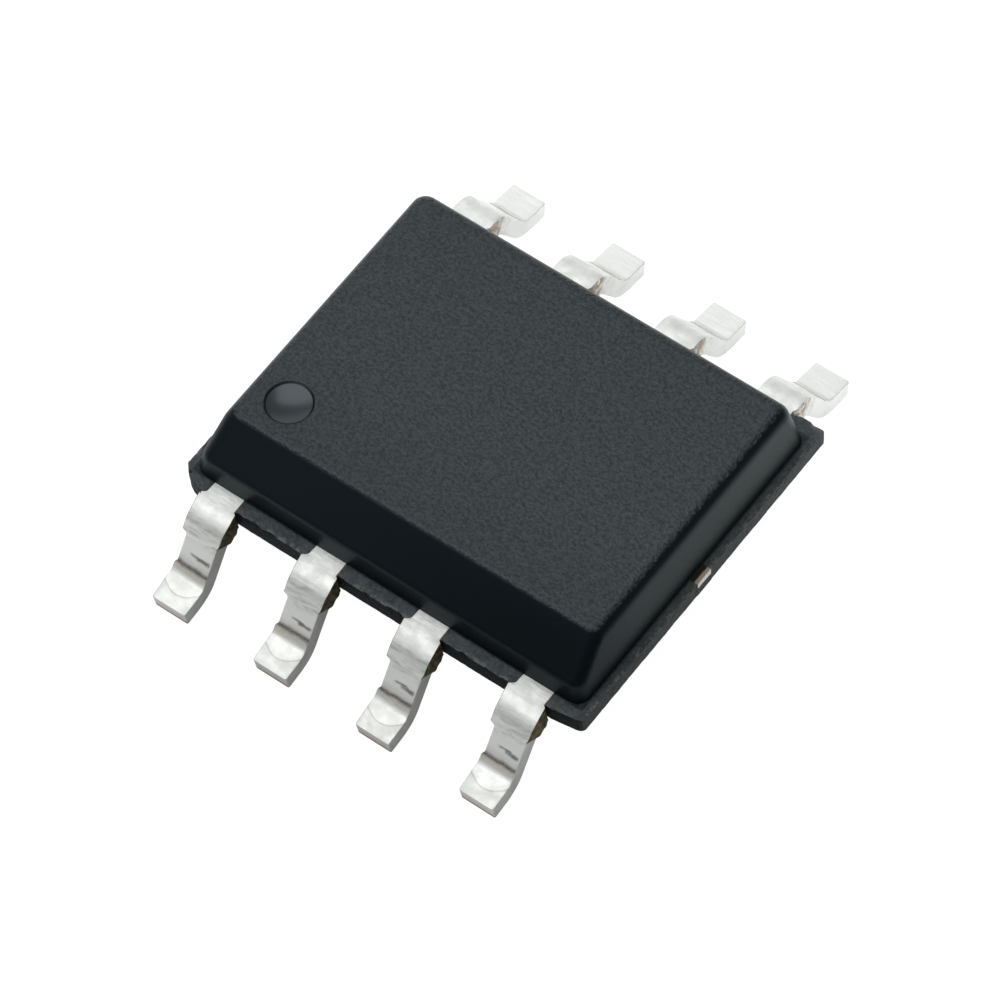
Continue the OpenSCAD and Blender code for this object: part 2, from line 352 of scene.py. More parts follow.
def ring_edges(bm, ring):
    """The edges of a closed ring of vertices."""
    return [bm.edges.get((ring[k - 1], ring[k])) for k in range(len(ring))]


def helper_object(bm, name):
    """A scene object made from a bmesh, which is freed."""
    mesh = bpy.data.meshes.new(name)
    bm.to_mesh(mesh)
    bm.free()
    helper = bpy.data.objects.new(name, mesh)
    bpy.context.scene.collection.objects.link(helper)
    return helper


def baked(helpers):
    """The first helper with its modifiers applied, as a bmesh. All the helpers are removed."""
    bpy.context.view_layer.update()
    solid = helpers[0].evaluated_get(bpy.context.evaluated_depsgraph_get())
    bm = bmesh.new()
    bm.from_mesh(solid.to_mesh())
    solid.to_mesh_clear()
    for helper in helpers:
        mesh = helper.data
        bpy.data.objects.remove(helper)
        bpy.data.meshes.remove(mesh)
    return bm


def joined(shells, name):
    """The union of closed bmeshes as one bmesh."""
    objects = []
    for index, bm in enumerate(shells):
        face_outward(bm)
        objects.append(helper_object(bm, f"{name}_shell_{index}"))
    for other in objects[1:]:
        union = objects[0].modifiers.new("union", "BOOLEAN")
        union.operation = "UNION"
        union.solver = "MANIFOLD"
        union.object = other
    return baked(objects)


# The body


def side_inset(z, height):
    """How far a drafted side with its rounded upper edge lies inside the parting line."""
    arc_z = height - EDGE_R
    if z <= arc_z + EDGE_R * math.sin(DRAFT):
        return z * math.tan(DRAFT)
    arc_in = height * math.tan(DRAFT) + EDGE_R * math.tan((math.pi / 2 - DRAFT) / 2)
    return arc_in - math.sqrt(max(0.0, EDGE_R ** 2 - (z - arc_z) ** 2))


def front_inset(z, height):
    """The same for the front side with its bevel."""
    low_z = height - BEVEL_H
    low_in = low_z * math.tan(DRAFT)
    if z > height - BEVEL_TOP_R * (1 - math.cos(BEVEL_ANGLE)):
        arc_in = low_in + BEVEL_RUN + BEVEL_TOP_R * math.tan(BEVEL_ANGLE / 2)
        return arc_in - math.sqrt(max(0.0, BEVEL_TOP_R ** 2 - (z - height + BEVEL_TOP_R) ** 2))
    drafted, bevelled = z * math.tan(DRAFT), low_in + (z - low_z) * BEVEL_RUN / BEVEL_H
    blend = max(0.0, BEVEL_LOW_BLEND - abs(drafted - bevelled))
    return max(drafted, bevelled) + blend ** 2 / (4 * BEVEL_LOW_BLEND)


def half_levels(height, bevel):
    """Heights of the rings of a moulded half, from its root to its flat face."""
    turns = [DRAFT + (math.pi / 2 - DRAFT) * k / EDGE_STEPS for k in range(EDGE_STEPS + 1)]
    levels = [-ROOT] + [height - EDGE_R * (1 - math.sin(a)) for a in turns]
    if bevel:
        low_z = height - BEVEL_H
        levels += [low_z + BEVEL_BLEND_REACH * BEVEL_LOW_BLEND * k / BLEND_STEPS
                   for k in range(-BLEND_STEPS, BLEND_STEPS + 1)]
        levels += [height - BEVEL_TOP_R * (1 - math.cos(BEVEL_ANGLE * k / EDGE_STEPS))
                   for k in range(1, EDGE_STEPS + 1)]
    return sorted(levels)


def moulded_half(height, bevel):
    """Half of the moulding from the parting plane at z = 0 up, with or without its bevel."""
    rim = side_inset(height, height) - height * math.tan(DRAFT)
    bm = bmesh.new()
    rings = []
    levels = half_levels(height, bevel)
    for z, inside in [(z, 0.0) for z in levels] + [(height, FLAT_RIM)]:
        drafted, side = z * math.tan(DRAFT), side_inset(z, height)
        front = front_inset(z, height) if bevel else side
        slew = BEVEL_SLEW * (front - drafted) / BEVEL_RUN if bevel else 0.0
        radius = CORNER_R - (CORNER_R - RIM_CORNER_R) * (side - drafted) / rim
        end_x, back_y = SIDE_X - side - radius, SIDE_Y - side - radius
        front_y = front + radius - SIDE_Y
        corners = ((end_x, back_y, 0), (-end_x, back_y, 90),
                   (-end_x, front_y - slew * end_x, 180), (end_x, front_y + slew * end_x, 270))
        ring = []
        for x, y, first in corners:
            for k in range(CORNER_STEPS + 1):
                a = math.radians(first + 90 * k / CORNER_STEPS)
                reach = radius - inside
                ring.append(bm.verts.new((x + reach * math.cos(a), y + reach * math.sin(a), z)))
        rings.append(ring)
    bridge_rings(bm, rings)
    bm.faces.new(reversed(rings[0]))
    bm.faces.new(rings[-1])
    bm.normal_update()
    return bm


def sink_dimple(bm, height):
    """Opens the top face round the dimple and adds the dimple's rings."""
    tops = [f for f in bm.faces if f.normal.z > 0.99 and f.calc_center_median().z > 0]
    top = max(tops, key=lambda f: f.calc_area())
    outline = list(top.edges)
    bm.faces.remove(top)
    profile = [(DIMPLE_R + FLAT_RIM, 0)]
    for share in WALL_SHARES:
        radius = DIMPLE_R + (DIMPLE_FLOOR_R - DIMPLE_R) * share
        sunk = ease(share, 0.0, WALL_EASE_END) / ease(1.0, 0.0, WALL_EASE_END)
        profile.append((radius, -DIMPLE_WALL * sunk))
    for share in FLOOR_SHARES:
        profile.append((DIMPLE_FLOOR_R * share, -DIMPLE_WALL - DIMPLE_DISH * (1 - share * share)))
    turns = [2 * math.pi * k / DIMPLE_SIDES for k in range(DIMPLE_SIDES)]
    rings = [[bm.verts.new((DIMPLE.x + radius * math.cos(turn),
                            DIMPLE.y + radius * math.sin(turn), height + z)) for turn in turns]
             for radius, z in profile]
    bridge_rings(bm, rings)
    bm.faces.new(rings[-1])
    hole = ring_edges(bm, rings[0])
    bmesh.ops.triangle_fill(bm, edges=outline + hole, use_beauty=True, normal=(0, 0, 1))


def flare(depth):
    """Share of the dam bar's stub that is left inside the ledge, at a depth from its face."""
    return ease(depth, FLARE_L, 0.0) ** 2


def lead_slot(stop, row, step):
    """Places round the slot for a lead, in the outline's way, with a fillet at its lower x."""
    half = LEAD_W / 2 + SLOT_CLEAR
    inner_y = row * (SIDE_Y - SLOT_IN)
    depths = [FLARE_L * k / FLARE_STEPS for k in range(FLARE_STEPS + 1)]
    lower = [(stop - half - STUB_W * flare(depth), row * (LEDGE_Y - depth)) for depth in depths]
    lower.append((stop - half, inner_y))
    upper = [(stop + half, row * LEDGE_Y), (stop + half, inner_y)]
    first, second = (lower, upper) if step > 0 else (upper, lower)
    places = first + second[::-1]
    last = len(places) - 1
    return [(*place, "lip" if k in (0, last) else "slot") for k, place in enumerate(places)]


def ledge_outline():
    """The ledge's outline in plan, counter-clockwise, as (x, y, kind): open, slot or lip of a slot."""
    def side_run(row, stops):
        step = 1 if stops[-1] > stops[0] else -1
        places = [place for stop in stops[1:-1] for place in lead_slot(stop, row, step)]
        return [(stops[0], row * LEDGE_Y, "open"), *places, (stops[-1], row * LEDGE_Y, "open")]

    def end_run(sign):
        x = sign * LEDGE_X
        inner_x = sign * (SIDE_X - SLOT_IN)
        first = CORNER_CUT[(sign, -sign)][1]
        last = CORNER_CUT[(sign, sign)][1]
        half = sign * (TIE_W / 2 + SLOT_CLEAR)
        return [(x, -sign * (LEDGE_Y - first), "open"), (x, -half, "lip"), (inner_x, -half, "slot"),
                (inner_x, half, "slot"), (x, half, "lip"), (x, sign * (LEDGE_Y - last), "open")]

    front = sorted(p.x + SHOULDER_ASIDE[FRONT] for p in PINS.values() if p.y < 0)
    back = sorted((p.x + SHOULDER_ASIDE[BACK] for p in PINS.values() if p.y > 0), reverse=True)
    cuts = {k: v[0] for k, v in CORNER_CUT.items()}
    front_stops = [-LEDGE_X + cuts[(-1, -1)], *front, LEDGE_X - cuts[(1, -1)]]
    back_stops = [LEDGE_X - cuts[(1, 1)], *back, -LEDGE_X + cuts[(-1, 1)]]
    start = Vector((-LEDGE_X, CORNER_CUT[(-1, -1)][1] - LEDGE_Y))
    end = Vector((front_stops[0], -LEDGE_Y))
    inward = Vector((start.y - end.y, end.x - start.x)).normalized()
    nick = [(*(start.lerp(end, share) + inward * depth), "open") for share, depth in CORNER_NICK]
    blunt = [(LEDGE_X - dx, dy - LEDGE_Y, "open") for dx, dy in BLUNT_CORNER]
    return (side_run(FRONT, front_stops) + blunt + end_run(1)
            + side_run(BACK, back_stops) + end_run(-1) + nick)


def ledge_places():
    """The outline in short steps, each as (place, way out), with no way out inside the slots."""
    stops = ledge_outline()
    places = []
    for (x0, y0, kind0), (x1, y1, kind1) in zip(stops, stops[1:] + stops[:1]):
        start, end = Vector((x0, y0)), Vector((x1, y1))
        inside = "slot" in (kind0, kind1)
        count = 1 if inside else max(1, round((end - start).length / LEDGE_STEP))
        way = (end - start).normalized()
        out = Vector((way.y, -way.x))
        for k in range(count):
            at_corner = k == 0 and kind0 in ("lip", "slot")
            places.append((start.lerp(end, k / count), None if inside or at_corner else out))
    return places


def ledge_plate():
    """The thin broken plate of resin between the leads, at the parting plane."""
    places = ledge_places()
    bm = bmesh.new()
    rings = []
    for level in range(LEDGE_LEVELS):
        share = level / (LEDGE_LEVELS - 1)
        z = FRAME_BOTTOM + FRAME_T * share
        near_top = ease(share, CHIP_FROM, 1.0)
        ring = []
        for place, out in places:
            moved = place.copy()
            if out is not None:
                spot = (place.x, place.y, z)
                chip = max(0.0, waves(spot, CHIP_WAVES) + CHIP_BIAS) * near_top * LEDGE_CHIP
                chip *= END_CHIP + (1 - END_CHIP) * abs(out.y)
                rough = LEDGE_ROUGH * (waves(spot, ROUGH_WAVES) - ROUGH_INSET)
                moved += out * (rough - chip)
            ring.append(bm.verts.new((moved.x, moved.y, z)))
        rings.append(ring)
    bridge_rings(bm, rings)
    for ring in (rings[0], rings[-1]):
        bmesh.ops.triangle_fill(bm, edges=ring_edges(bm, ring), use_beauty=True, normal=(0, 0, 1))
    return bm


def make_body(material):
    upper_h = TOP - FRAME_TOP
    upper = moulded_half(upper_h, True)
    sink_dimple(upper, upper_h)
    bmesh.ops.translate(upper, vec=(0, 0, FRAME_TOP), verts=upper.verts)
    lower = moulded_half(FRAME_BOTTOM - UNDERSIDE, False)
    for vert in lower.verts:
        vert.co.z = FRAME_BOTTOM - vert.co.z
    bm = joined([upper, ledge_plate(), lower], "body")
    bmesh.ops.dissolve_degenerate(bm, dist=1e-5, edges=bm.edges)
    add_piece("moulded_body", finished_mesh(bm, "moulded_body"), material, "body")


# The leads


def lead_stations(row):
    """Places along a lead's middle line: (distance out, height, slope, distance along)."""
    upper, lower, form_angle, shank_l = lead_form(row)
    root = [-LEDGE_SIDE - LEAD_ROOT, -LEDGE_SIDE, *(-FLARE_L * share for share in FLARE_SHARES)]
    stations = [(LEDGE_Y + d, FRAME_BOTTOM + FRAME_T / 2, 0.0, d)
                for d in (*root, 0.0, EXIT_L[row] / 2)]
    for k in range(BEND_STEPS + 1):
        angle = form_angle * k / BEND_STEPS
        place = upper + MID_R * Vector((math.sin(angle), math.cos(angle)))
        stations.append((place.x, place.y, angle, EXIT_L[row] + MID_R * angle))
    top = stations[-1]
    for k in range(1, SHANK_STEPS):
        run = shank_l * k / SHANK_STEPS
        stations.append((top[0] + run * math.cos(form_angle), top[1] - run * math.sin(form_angle),
                         form_angle, top[3] + run))
    for k in range(BEND_STEPS + 1):
        angle = form_angle + (FOOT_SLOPE - form_angle) * k / BEND_STEPS
        place = lower - MID_R * Vector((math.sin(angle), math.cos(angle)))
        along = top[3] + shank_l + MID_R * (form_angle - angle)
        stations.append((place.x, place.y, angle, along))
    heel = stations[-1]
    runs = [FOOT_L * k / FOOT_STEPS for k in range(1, FOOT_STEPS)]
    runs += [FOOT_L - TOE_ROUND * (1 - math.sin(math.pi / 2 * k / TOE_STEPS))
             for k in range(1, TOE_STEPS + 1)]
    for run in sorted(runs):
        place = HEEL + FOOT_WAY * run
        stations.append((place.x, place.y, FOOT_SLOPE, heel[3] + run))
    return stations


def lead_ring():
    """The lead's section as (across, up) in millimetres, with rounded edges, counter-clockwise."""
    half = Vector((LEAD_W / 2, FRAME_T / 2))
    corners = ((1, 1), (-1, 1), (-1, -1), (1, -1))
    ring = []
    for index, (sx, sy) in enumerate(corners):
        centre = Vector((sx * (half.x - LEAD_EDGE), sy * (half.y - LEAD_EDGE)))
        for k in range(LEAD_EDGE_STEPS + 1):
            a = math.radians(90 * index + 90 / LEAD_EDGE_STEPS * k)
            ring.append(centre + LEAD_EDGE * Vector((math.cos(a), math.sin(a))))
        level = index % 2 == 0
        next_x, next_y = corners[(index + 1) % 4]
        end = Vector((next_x * (half.x - (LEAD_EDGE if level else 0)),
                      next_y * (half.y - (0 if level else LEAD_EDGE))))
        start = ring[-1].copy()
        steps = LEAD_FACE_STEPS if level else LEAD_SIDE_STEPS
        ring += [start.lerp(end, k / steps) for k in range(1, steps)]
    return ring


def stub_share(along):
    """1 along the cut dam bar's stub, 0 beyond it."""
    return 1 - ease(along, STUB_END - STUB_FADE, STUB_END + STUB_FADE)


def stub_reach(along, up, side, spot):
    """How far the lead's side stands out at the cut dam bar, at a share up from 0 to 1."""
    if side < 0:
        whole = STUB_W * (flare(-along) if along < 0 else 1.0) * stub_share(along)
        return whole * (STUB_FOOT + (1 - STUB_FOOT) * up)
    taper = 1 - CUT_TAPER * ease(along, CUT_TAPER_START, STUB_END)
    open_share = ease(along, 0.0, CUT_START) * taper
    left = 1 - ease(along, STUB_END - CUT_FADE, STUB_END + STUB_FADE)
    return CUT_W * open_share * left * waves(spot, CUT_WAVES, 1.0) * (CUT_FOOT - CUT_LEAN * up)


def foot_reach(along, side):
    """How far the side stands out at the pressed foot, and back at the toe's rounded corners."""
    if side < 0:
        pressed = ease(along, FORMING_LINE_S, PRESS_END_S)
        at_toe = ease(along, FOOT_S, TIP_S)
        spread = pressed * (FOOT_SPREAD + (TOE_SPREAD - FOOT_SPREAD) * at_toe)
    else:
        spread = TOE_SPREAD * ease(along, LOWER_BEND_S, SPREAD_END_S)
    short = max(0.0, TOE_ROUND - (TIP_S - along))
    corner = TOE_ROUND - math.sqrt(max(0.0, TOE_ROUND ** 2 - short ** 2))
    return spread - corner


def lead_shell(pin):
    """The part of a lead outside the body as a closed shell."""
    row = FRONT if pin.y < 0 else BACK
    section = lead_ring()
    half_w = LEAD_W / 2
    bm = bmesh.new()
    along_layer = bm.verts.layers.float.new("along")
    across_layer = bm.verts.layers.float.new("across")
    cut_layer = bm.verts.layers.float.new("cut")
    rings = []
    # A lead of either row takes the marks of a front lead, so both use its distances along
    front_along = [station[3] for station in lead_stations(FRONT)]
    for (d, z, slope, _), along in zip(lead_stations(row), front_along):
        hidden = ease(-along, *HIDDEN_FADE)
        aside = SHOULDER_ASIDE[row] * (1 - ease(along, *ASIDE_END))
        web = WEB * ease(along, *WEB_RISE) * (1 - ease(along, *WEB_FALL)) if row == BACK else 0.0
        swollen = (1 - hidden) * (1 - ease(along, *SWELL_END))
        bare = 1.0 if row == FRONT else BACK_BARE * (1 - ease(along, *BACK_BARE_FALL))
        ring = []
        for point in section:
            up = point.y / FRAME_T + 0.5
            side = 1 if point.x > 0 else -1
            edge = ease(abs(point.x), half_w - 2.5 * LEAD_EDGE, half_w - LEAD_EDGE)
            spot = (pin.x + point.x, row * d, z + point.y)
            reach = (stub_reach(along, up, side, spot) + foot_reach(along, side)) * edge
            across = (point.x + side * reach) * (1 - HIDDEN_NARROW * hidden)
            swell = SWELL * wobble(spot, 6, 8) * swollen
            lift = point.y * (1 - HIDDEN_THIN * hidden) + swell - web * (1 - up)
            vert = bm.verts.new((pin.x + aside + across, row * (d + lift * math.sin(slope)),
                                 z + lift * math.cos(slope)))
            vert[along_layer] = along
            vert[across_layer] = point.x
            on_side = abs(point.x) > half_w - 0.6 * LEAD_EDGE
            cut = bare * stub_share(along) * ease(along, -0.005, 0.005)
            vert[cut_layer] = cut if on_side else 0.0
            ring.append(vert)
        rings.append(ring)
    bridge_rings(bm, rings)
    bm.faces.new(reversed(rings[0]))
    toe_face = bm.faces.new(rings[-1])
    bmesh.ops.inset_region(bm, faces=[toe_face], thickness=TOE_INSET, depth=0.0)
    return bm


def finger_shell(node, pin):
    """The part of a CAD lead inside the body, cut off where the outer part takes over."""
    row = FRONT if pin.y < 0 else BACK
    bm = bmesh.new()
    bm.from_mesh(frame["nodes"][node].data)
    bmesh.ops.scale(bm, vec=(1 / MM, 1 / MM, 1 / MM), verts=bm.verts)
    bmesh.ops.remove_doubles(bm, verts=bm.verts, dist=1e-4)
    bmesh.ops.bisect_plane(bm, geom=bm.verts[:] + bm.edges[:] + bm.faces[:], dist=1e-6,
                           plane_co=(0, row * (SIDE_Y - FINGER_CUT), 0), plane_no=(0, row, 0),
                           clear_outer=True)
    bmesh.ops.holes_fill(bm, edges=[e for e in bm.edges if e.is_boundary], sides=0)
    bmesh.ops.triangulate(bm, faces=bm.faces)
    return bm


def make_leads(material):
    for number, pin in PINS.items():
        node = f"lead_{number}"
        bm = joined([lead_shell(pin), finger_shell(node, pin)], node)
        add_piece(f"formed_lead_{number}", finished_mesh(bm, node), material, node)


# Materials


class Look:
    """A material built from nodes, with short calls for the nodes that the looks below use."""

    def __init__(self, name, metallic=0.0):
        self.material = bpy.data.materials.new(name)
        self.material.use_nodes = True
        self.tree = self.material.node_tree
        self.tree.nodes.clear()
        self.shader = self.add("ShaderNodeBsdfPrincipled")
        self.set("Metallic", metallic)
        output = self.add("ShaderNodeOutputMaterial")
        self.tree.links.new(self.shader.outputs[0], output.inputs[0])
        coords = self.add("ShaderNodeTexCoord").outputs["Object"]
        self.mm = self.vector("MULTIPLY", coords, (1 / MM,) * 3)

    def add(self, kind):
        return self.tree.nodes.new(kind)

    def put(self, socket, value):
        """Links a socket to another or gives it a constant."""
        if isinstance(value, bpy.types.NodeSocket):
            self.tree.links.new(value, socket)
        elif socket.type == "RGBA" and len(value) == 3:
            socket.default_value = (*value, 1)
        else:
            socket.default_value = value

    def set(self, socket, value):
        self.put(self.shader.inputs[socket], value)

    def vector(self, operation, a, b):
        n = self.add("ShaderNodeVectorMath")
        n.operation = operation
        self.put(n.inputs[0], a)
        self.put(n.inputs[1], b)
        return n.outputs[0]

    def math(self, operation, a, b=0.0):
        n = self.add("ShaderNodeMath")
        n.operation = operation
        self.put(n.inputs[0], a)
        self.put(n.inputs[1], b)
        return n.outputs[0]

    def noise(self, scale, detail, rough, seed, stretch=None):
        n = self.add("ShaderNodeTexNoise")
        n.noise_dimensions = "4D"
        place = self.mm if stretch is None else self.vector("MULTIPLY", self.mm, stretch)
        self.put(n.inputs["Vector"], place)
        for socket, value in (("W", seed), ("Scale", scale), ("Detail", detail),
                              ("Roughness", rough)):
            n.inputs[socket].default_value = value
        return n.outputs[0]

    def cells(self, scale):
        n = self.add("ShaderNodeTexVoronoi")
        self.put(n.inputs["Vector"], self.mm)
        n.inputs["Scale"].default_value = scale
        return n.outputs[0]

    def ramp(self, value, low, high, to_low=0.0, to_high=1.0):
        """Smooth change from to_low to to_high as a value goes from low to high."""
        n = self.add("ShaderNodeMapRange")
        n.interpolation_type = "SMOOTHSTEP"
        self.put(n.inputs[0], value)
        for socket, number in zip(n.inputs[1:5], (low, high, to_low, to_high)):
            socket.default_value = number
        return n.outputs[0]

    def fall(self, value, low, high):
        """1 up to low, 0 from high on."""
        return self.ramp(value, low, high, 1.0, 0.0)

    def window(self, value, rise, fall):
        """1 between a rise and a fall, each given as its start and end."""
        return self.times(self.ramp(value, *rise), self.fall(value, *fall))

    def band(self, value, centre, half_width):
        """1 where a value is at centre, falling to 0 at half_width from it."""
        away = self.math("ABSOLUTE", self.math("SUBTRACT", value, centre))
        return self.fall(away, 0.0, half_width)

    def shifted(self, value, texture, amount):
        """A value moved to either side by a texture around 0.5."""
        return self.math("ADD", value, self.times(self.math("SUBTRACT", texture, 0.5), amount))

    def distance(self, a, b, centre):
        """Distance of the place (a, b) from a centre."""
        da, db = self.math("SUBTRACT", a, centre.x), self.math("SUBTRACT", b, centre.y)
        return self.math("SQRT", self.math("ADD", self.times(da, da), self.times(db, db)))

    def times(self, *values):
        product = values[0]
        for value in values[1:]:
            product = self.math("MULTIPLY", product, value)
        return product

    def mix(self, share, a, b):
        n = self.add("ShaderNodeMix")
        n.data_type = "RGBA"
        self.put(n.inputs[0], share)
        self.put(n.inputs[6], a)
        self.put(n.inputs[7], b)
        return n.outputs[2]

    def mix_value(self, share, a, b):
        n = self.add("ShaderNodeMix")
        self.put(n.inputs[0], share)
        self.put(n.inputs[2], a)
        self.put(n.inputs[3], b)
        return n.outputs[0]

    def split(self, vector):
        n = self.add("ShaderNodeSeparateXYZ")
        self.put(n.inputs[0], vector)
        return n.outputs[:]

    def facing(self, axis):
        """The part of the surface's own direction along an axis."""
        return self.split(self.add("ShaderNodeNewGeometry").outputs["True Normal"])[axis]

    def turned_to(self, axis):
        """How far the surface faces along an axis, either way."""
        return self.math("ABSOLUTE", self.facing(axis))

    def attribute(self, name):
        n = self.add("ShaderNodeAttribute")
        n.attribute_name = name
        return n.outputs["Fac"]

    def bump(self, height, depth_mm, under=None):
        """A normal bumped by a height from 0 to 1 that is depth_mm deep."""
        n = self.add("ShaderNodeBump")
        n.inputs["Distance"].default_value = depth_mm * MM
        self.put(n.inputs["Height"], height)
        if under is not None:
            self.put(n.inputs["Normal"], under)
        return n.outputs[0]


def resin_look():
    """Black moulding compound: grain on the flat faces, smooth in the dimple, broken on the ledge."""
    look = Look("resin")
    x, y, z = look.split(look.mm)
    in_ledge = look.window(z, (FRAME_BOTTOM - 0.006, FRAME_BOTTOM + 0.002),
                           (FRAME_TOP + 0.002, FRAME_TOP + 0.006))
    away = look.distance(x, y, DIMPLE)
    in_dimple = look.times(look.fall(away, DIMPLE_FLOOR_R - 0.01, DIMPLE_R - 0.005),
                           look.window(z, (TOP - 0.2, TOP - 0.15), (TOP - 0.012, TOP - 0.004)))
    grain = look.noise(26, 2, 0.6, seed=1)
    turned = look.shifted(look.turned_to(2), grain, 0.22)
    upward = look.math("MAXIMUM", look.ramp(turned, 0.84, 0.95), in_dimple)
    grainy = look.times(upward, look.fall(in_dimple, 0.0, 1.0))
    fine = look.noise(60, 2, 0.6, seed=2)
    broad = look.noise(2.2, 3, 0.5, seed=3)
    moulded = look.mix(broad, RESIN_DARK, RESIN_LIGHT)
    moulded = look.mix(look.times(look.ramp(fine, 0.6, 0.8), grainy), moulded, RESIN_GRAIN)
    look.set("Base Color", look.mix(in_ledge, moulded, ledge_colour(look, x, y, upward)))
    shine = look.mix_value(in_dimple, look.ramp(grain, 0.3, 0.7, *GRAIN_SHINE), DIMPLE_SHINE)
    # Painted shade: the sheen of the top and the dimple dims towards the front
    shine = look.times(shine, look.ramp(y, -1.6, -0.2, PAINTED_SHADE_SHINE, 1.0))
    in_front = look.fall(y, -1.7, -0.6)
    # Painted shade: the sheen of the front side and bevel fades along x
    front_shine_with_painted_shade = look.ramp(x, -2.0, 2.0, SIDE_SHINE, PAINTED_SHADE_FRONT_END_SHINE)
    side_shine = look.mix_value(in_front, SIDE_SHINE, front_shine_with_painted_shade)
    look.set("Specular IOR Level", look.mix_value(upward, side_shine, shine))
    side_tint = look.mix(in_front, SIDE_TINT, FRONT_TINT)
    look.set("Specular Tint", look.mix(upward, side_tint, TOP_TINT))
    smooth = look.mix_value(in_dimple, 0.38, 0.25)
    smooth = look.mix_value(grainy, smooth, look.ramp(grain, 0.3, 0.7, 0.36, 0.46))
    look.set("Roughness", look.mix_value(in_ledge, smooth, 0.6))
    height = look.math("ADD", look.times(grain, 0.7), look.times(fine, 0.3))
    height = look.times(height, look.ramp(grainy, 0.0, 1.0, 0.12, 1.0))
    chips = look.noise(10, 5, 0.65, seed=4)
    look.set("Normal", look.bump(look.times(chips, in_ledge), 0.04, look.bump(height, 0.014)))
    return look.material


def ledge_colour(look, x, y, upward):
    """The ledge's broken resin, with pale chips along its outer edge, painted shade in the crease at
    the body's foot, and outer faces painted dark where they turn along y and lighter at the ends.
    """
    out_x, out_y = look.math("ABSOLUTE", x), look.math("ABSOLUTE", y)
    chips = look.noise(9, 4, 0.65, seed=4)
    colour = look.mix(look.ramp(chips, 0.35, 0.65), LEDGE_DARK, LEDGE_LIGHT)
    rim = look.math("MAXIMUM", look.ramp(out_x, LEDGE_X - 0.06, LEDGE_X - 0.02),
                    look.ramp(out_y, LEDGE_Y - 0.07, LEDGE_Y - 0.02))
    pale = look.times(rim, look.ramp(look.noise(14, 3, 0.6, seed=6), 0.48, 0.60), 0.8)
    colour = look.mix(pale, colour, LEDGE_PALE)
    specks = look.ramp(look.noise(34, 2, 0.5, seed=5), 0.62, 0.70)
    at_end = look.ramp(out_x, LEDGE_X - 0.12, LEDGE_X - 0.08)
    colour = look.mix(look.times(specks, 0.6), colour, look.mix(at_end, SPECK_SIDE, SPECK_END))
    # Painted shade in the crease where the body's side meets the ledge
    foot = look.times(look.fall(out_x, SIDE_X + 0.005, SIDE_X + 0.025),
                      look.fall(out_y, SIDE_Y + 0.005, SIDE_Y + 0.025))
    colour = look.mix(foot, colour, LEDGE_CREASE_SHADE)
    # Distance from the middle of the nearest front lead, as a share of the pitch
    pitches = look.math("DIVIDE", look.math("SUBTRACT", x, SHOULDER_ASIDE[FRONT]), PITCH)
    from_lead = look.math("SUBTRACT", look.math("FRACT", pitches), 0.5)
    half_w = LEAD_W / 2
    beside = look.window(from_lead, ((half_w - 0.01) / PITCH, half_w / PITCH),
                         ((half_w + 0.04) / PITCH, (half_w + 0.1) / PITCH))
    beside = look.times(beside, look.ramp(out_y, LEDGE_Y - 0.1, LEDGE_Y - 0.06), 0.6)
    colour = look.mix(beside, colour, LEDGE_STAIN)
    # Painted light and shade on the outer faces: dark where they turn along y, lighter at the ends
    to_end = look.ramp(look.turned_to(0), 0.5, 0.8)
    outer = look.mix(to_end, OUTER_SIDE_SHADE, look.mix(chips, OUTER_END_LIT_DARK, OUTER_END_LIT_LIGHT))
    return look.mix(upward, outer, colour)


